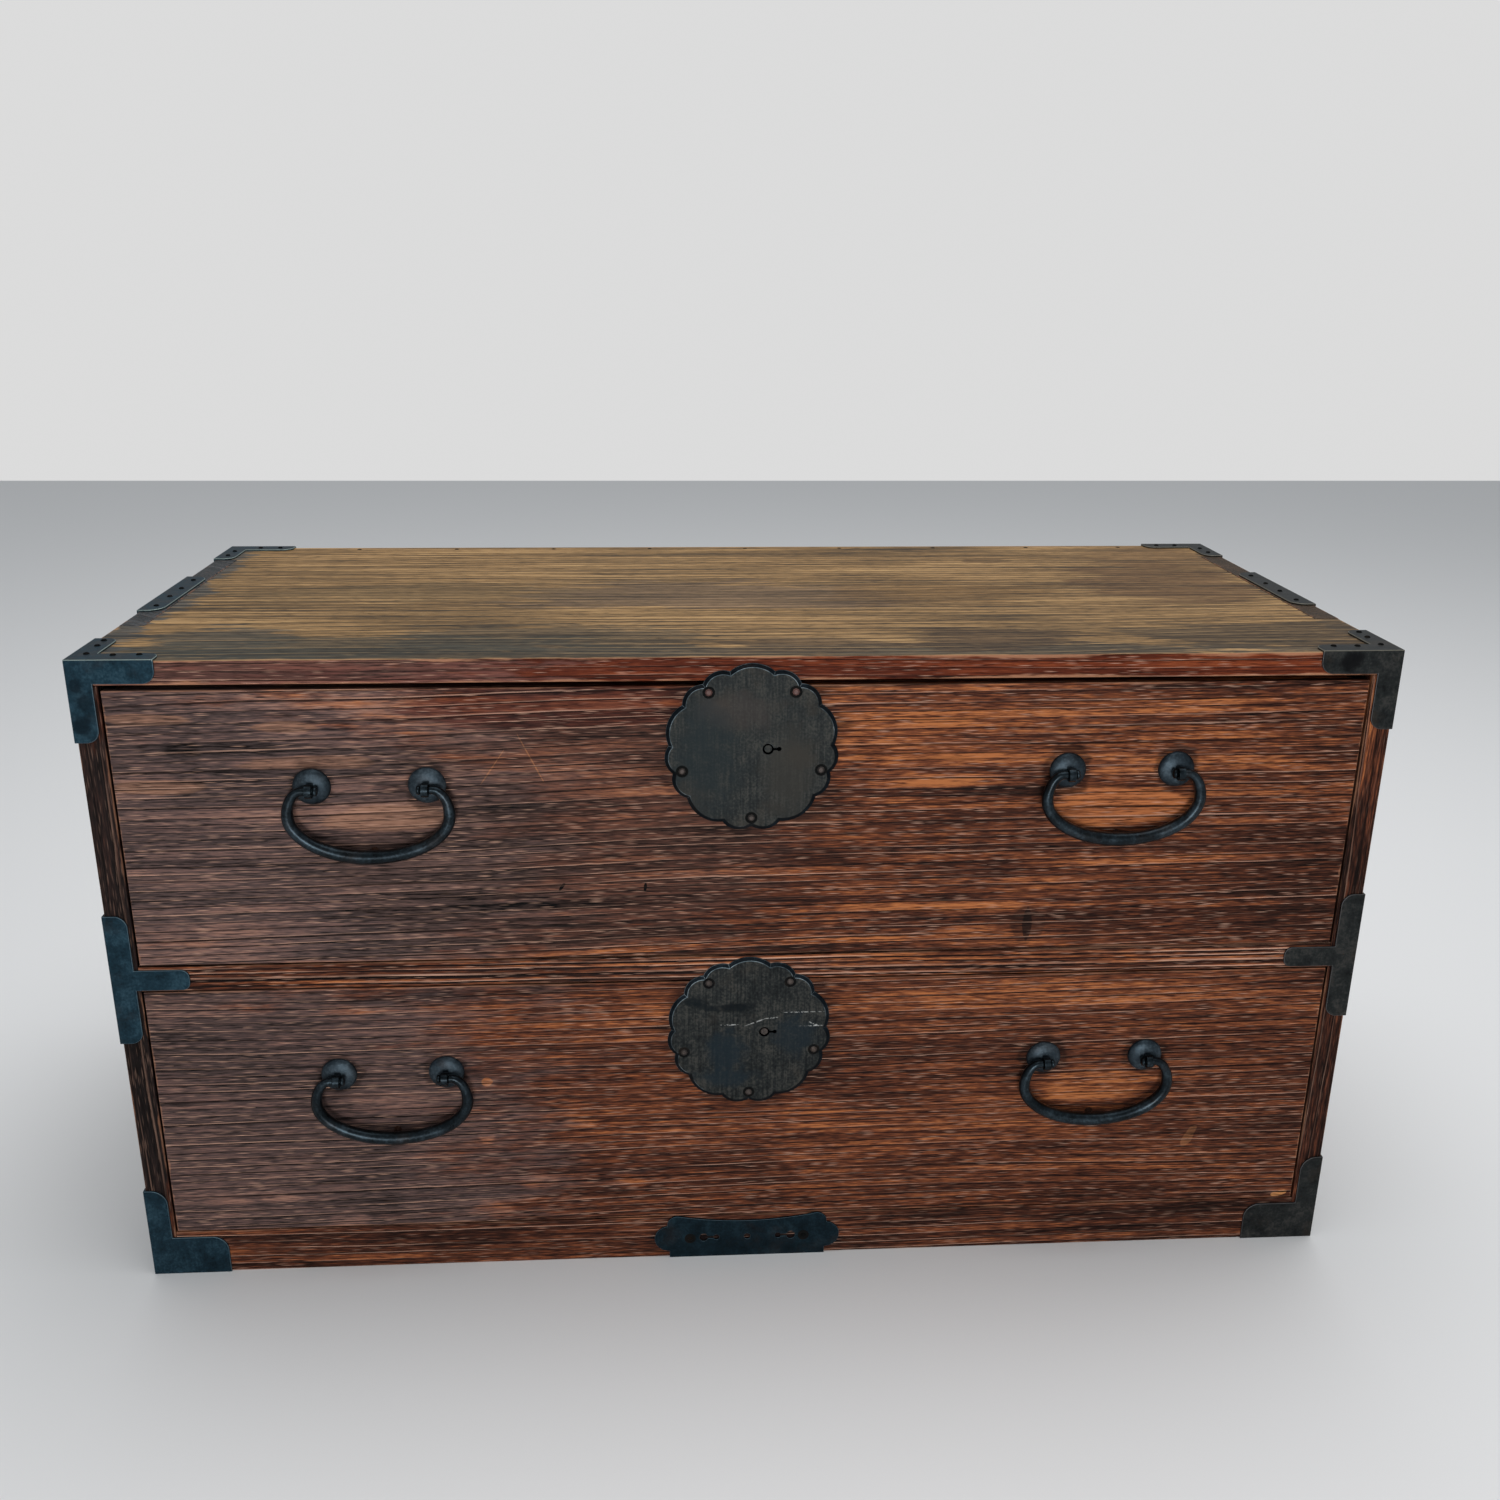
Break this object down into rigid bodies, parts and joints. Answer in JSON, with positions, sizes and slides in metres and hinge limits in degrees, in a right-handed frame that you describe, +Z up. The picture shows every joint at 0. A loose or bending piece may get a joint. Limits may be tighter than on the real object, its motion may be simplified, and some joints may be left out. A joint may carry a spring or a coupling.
{
  "type": "tansu chest",
  "caption": "Low Japanese tansu chest of drawers: finger-jointed board case, wide locking drawers with bail handles, and dark iron corner, edge and lock plates.",
  "frame": {"origin": "on the floor, under the middle of the board case", "axes": "+X to the viewer's right along the front, +Y from the drawers to the back, +Z up"},
  "size_m": [0.9374, 0.4112, 0.4879],
  "materials": {
    "front_wood": "worn wiped lacquer",
    "top_wood": "worn bare wood",
    "side_wood": "worn bare wood",
    "inner_wood": "bare planed wood",
    "iron": "blackened, satin"
  },
  "bodies": {
    "case": {"back_board_lower": "inner_wood", "back_board_middle": "inner_wood", "back_board_upper": "inner_wood", "back_foot_left_corner_iron": "iron", "back_foot_right_corner_iron": "iron", "back_top_left_corner_iron": "iron", "back_top_right_corner_iron": "iron", "base_plate": "iron", "bottom_board": "inner_wood", "bottom_rail": "front_wood", "carry_handle_eye_pins": "iron", "carry_handle_rosettes": "iron", "front_foot_left_corner_iron": "iron", "front_foot_right_corner_iron": "iron", "front_top_left_corner_iron": "iron", "front_top_right_corner_iron": "iron", "iron_nails": "iron", "left_edge_strap": "iron", "left_side_board": "side_wood", "left_tee_iron": "iron", "lower_runners": "inner_wood", "middle_rail": "front_wood", "right_edge_strap": "iron", "right_side_board": "side_wood", "right_tee_iron": "iron", "shelf_board": "inner_wood", "top_board": "top_wood", "upper_runners": "inner_wood"},
    "upper_drawer": {"upper_drawer_back": "inner_wood", "upper_drawer_bottom": "inner_wood", "upper_drawer_front": "front_wood", "upper_drawer_left_side": "inner_wood", "upper_drawer_right_side": "inner_wood", "upper_handle_eye_pins": "iron", "upper_handle_rosettes": "iron", "upper_handle_strikers": "iron", "upper_lock_case": "iron", "upper_lock_pin": "iron", "upper_lock_plate": "iron", "upper_lock_plate_nails": "iron"},
    "lower_drawer": {"lower_drawer_back": "inner_wood", "lower_drawer_bottom": "inner_wood", "lower_drawer_front": "front_wood", "lower_drawer_left_side": "inner_wood", "lower_drawer_right_side": "inner_wood", "lower_handle_eye_pins": "iron", "lower_handle_rosettes": "iron", "lower_handle_strikers": "iron", "lower_lock_case": "iron", "lower_lock_pin": "iron", "lower_lock_plate": "iron", "lower_lock_plate_nails": "iron"},
    "left_carry_bail": {"left_carry_bail": "iron"},
    "lower_left_bail": {"lower_left_bail": "iron"},
    "lower_right_bail": {"lower_right_bail": "iron"},
    "right_carry_bail": {"right_carry_bail": "iron"},
    "upper_left_bail": {"upper_left_bail": "iron"},
    "upper_right_bail": {"upper_right_bail": "iron"},
    "lower_lock_bolt": {"lower_lock_bolt": "iron"},
    "upper_lock_bolt": {"upper_lock_bolt": "iron"}
  },
  "joints": [
    {"name": "upper_drawer_slide", "type": "slide", "parent": "case", "child": "upper_drawer", "axis": [0, -1, 0], "range_m": [0, 0.3]},
    {"name": "lower_drawer_slide", "type": "slide", "parent": "case", "child": "lower_drawer", "axis": [0, -1, 0], "range_m": [0, 0.3]},
    {"name": "upper_left_bail_swing", "type": "hinge", "parent": "upper_drawer", "child": "upper_left_bail", "pos_m": [-0.2625, -0.2075, 0.396], "axis": [-1, 0, 0], "range_deg": [0, 165]},
    {"name": "upper_right_bail_swing", "type": "hinge", "parent": "upper_drawer", "child": "upper_right_bail", "pos_m": [0.2625, -0.2075, 0.401], "axis": [-1, 0, 0], "range_deg": [0, 165]},
    {"name": "lower_left_bail_swing", "type": "hinge", "parent": "lower_drawer", "child": "lower_left_bail", "pos_m": [-0.2625, -0.2075, 0.1705], "axis": [-1, 0, 0], "range_deg": [0, 165]},
    {"name": "lower_right_bail_swing", "type": "hinge", "parent": "lower_drawer", "child": "lower_right_bail", "pos_m": [0.2625, -0.2075, 0.1705], "axis": [-1, 0, 0], "range_deg": [0, 165]},
    {"name": "left_carry_bail_swing", "type": "hinge", "parent": "case", "child": "left_carry_bail", "pos_m": [-0.4635, 0.0045, 0.352], "axis": [0, 1, 0], "range_deg": [0, 165]},
    {"name": "right_carry_bail_swing", "type": "hinge", "parent": "case", "child": "right_carry_bail", "pos_m": [0.4635, 0.0045, 0.352], "axis": [0, -1, 0], "range_deg": [0, 165]},
    {"name": "upper_lock_bolt_slide", "type": "slide", "parent": "upper_drawer", "child": "upper_lock_bolt", "axis": [0, 0, 1], "range_m": [0, 0.0075]},
    {"name": "lower_lock_bolt_slide", "type": "slide", "parent": "lower_drawer", "child": "lower_lock_bolt", "axis": [0, 0, 1], "range_m": [0, 0.0075]}
  ]
}
